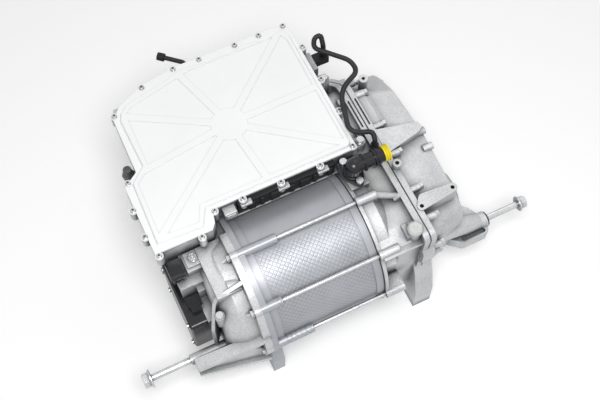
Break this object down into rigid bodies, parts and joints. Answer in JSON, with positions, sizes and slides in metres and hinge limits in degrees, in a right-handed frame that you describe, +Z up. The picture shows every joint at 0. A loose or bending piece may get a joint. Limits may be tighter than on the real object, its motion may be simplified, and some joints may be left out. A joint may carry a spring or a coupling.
{
  "type": "electric drive unit",
  "caption": "Electric drive unit: a round motor between an end housing and a reduction gearbox with differential, under a flat inverter box with a ribbed lid, hose, elbow and mount bolts.",
  "frame": {"origin": "on the floor, under the middle of the unit", "axes": "+X along the motor axis from the left end housing to the gearbox, +Y to the back under the inverter, +Z up"},
  "size_m": [0.73, 0.5272, 0.3277],
  "materials": {
    "cast_aluminium": "sand-toned die casting",
    "sleeve_aluminium": "embossed casting",
    "lid_aluminium": "pale satin",
    "steel": "zinc plated",
    "gear_steel": "ground",
    "bearing_steel": "polished",
    "lamination_steel": "laminated",
    "magnet": "nickel plated magnet",
    "copper": "copper conductor",
    "black_plastic": "black, slightly glossy",
    "matte_black": "black, matt",
    "yellow_plastic": "yellow",
    "white_plastic": "white",
    "rubber": "matt",
    "circuit_board": "solder mask",
    "grey_plastic": "matt"
  },
  "bodies": {
    "unit": {"stator_housing": "sleeve_aluminium", "stator_core": "lamination_steel", "stator_winding": "copper", "position_sensor": "matte_black", "rotor_bearing_outer_rings": "bearing_steel", "countershaft_bearing_outer_rings": "bearing_steel", "differential_bearing_outer_rings": "bearing_steel", "left_end_housing": "cast_aluminium", "tie_rods": "steel", "motor_end_cover": "black_plastic", "end_housing_screws": "steel", "ground_bolt": "steel", "sensor_connector": "matte_black", "phase_connector": "black_plastic", "left_mount_bolt": "steel", "right_mount_bolt": "steel", "right_mount_bush": "rubber", "gearbox_inner_housing": "cast_aluminium", "gearbox_outer_housing": "cast_aluminium", "gearbox_joint_bolts": "steel", "oil_fill_plug": "white_plastic", "output_seals": "rubber", "coolant_elbow": "black_plastic", "elbow_screws": "steel", "elbow_cap": "yellow_plastic", "inverter_housing": "cast_aluminium", "inverter_fixing_bolts": "steel", "lid_gasket": "rubber", "inverter_lid": "lid_aluminium", "lid_screws": "steel", "power_module": "grey_plastic", "dc_capacitor": "matte_black", "control_board": "circuit_board", "phase_bars": "copper", "signal_connector": "matte_black", "harness_front_plug": "matte_black", "harness_back_plug": "matte_black", "harness": "rubber", "breather_hose": "rubber", "breather_cap": "matte_black"},
    "rotor": {"rotor_shaft": "gear_steel", "rotor_core": "lamination_steel", "rotor_magnets": "magnet", "rotor_end_plates": "steel", "sensor_wheel": "lamination_steel", "input_pinion": "gear_steel", "rotor_bearing_inner_rings": "bearing_steel"},
    "countershaft_group": {"countershaft": "gear_steel", "countershaft_gear": "gear_steel", "countershaft_pinion": "gear_steel", "countershaft_bearing_inner_rings": "bearing_steel"},
    "differential_group": {"differential_case": "gear_steel", "ring_gear": "gear_steel", "ring_gear_bolts": "steel", "cross_pin": "steel", "differential_bearing_inner_rings": "bearing_steel"},
    "left_output": {"left_side_gear": "gear_steel"},
    "right_output": {"right_side_gear": "gear_steel"},
    "upper_pinion": {"upper_bevel_pinion": "gear_steel"},
    "lower_pinion": {"lower_bevel_pinion": "gear_steel"}
  },
  "joints": [
    {"name": "rotor_spin", "type": "hinge", "parent": "unit", "child": "rotor", "pos_m": [-0.153, -0.1336, 0.15], "axis": [1, 0, 0], "continuous": true},
    {"name": "countershaft_spin", "type": "hinge", "parent": "unit", "child": "countershaft_group", "pos_m": [-0.153, -0.05031, 0.16695], "axis": [1, 0, 0], "continuous": true},
    {"name": "differential_spin", "type": "hinge", "parent": "unit", "child": "differential_group", "pos_m": [0.127, 0.04463, 0.12064], "axis": [1, 0, 0], "continuous": true},
    {"name": "left_output_spin", "type": "hinge", "parent": "differential_group", "child": "left_output", "pos_m": [0.127, 0.04463, 0.12064], "axis": [1, 0, 0], "continuous": true},
    {"name": "right_output_spin", "type": "hinge", "parent": "differential_group", "child": "right_output", "pos_m": [0.127, 0.04463, 0.12064], "axis": [1, 0, 0], "continuous": true},
    {"name": "upper_pinion_spin", "type": "hinge", "parent": "differential_group", "child": "upper_pinion", "pos_m": [0.127, 0.04463, 0.12064], "axis": [0, 0, 1], "continuous": true},
    {"name": "lower_pinion_spin", "type": "hinge", "parent": "differential_group", "child": "lower_pinion", "pos_m": [0.127, 0.04463, 0.12064], "axis": [0, 0, 1], "continuous": true}
  ],
  "couplings": [
    {"joint": "countershaft_spin", "follows": "rotor_spin", "ratio": -0.33333},
    {"joint": "differential_spin", "follows": "rotor_spin", "ratio": 0.10884},
    {"joint": "right_output_spin", "follows": "left_output_spin", "ratio": -1},
    {"joint": "upper_pinion_spin", "follows": "left_output_spin", "ratio": 1.6},
    {"joint": "lower_pinion_spin", "follows": "left_output_spin", "ratio": -1.6}
  ]
}
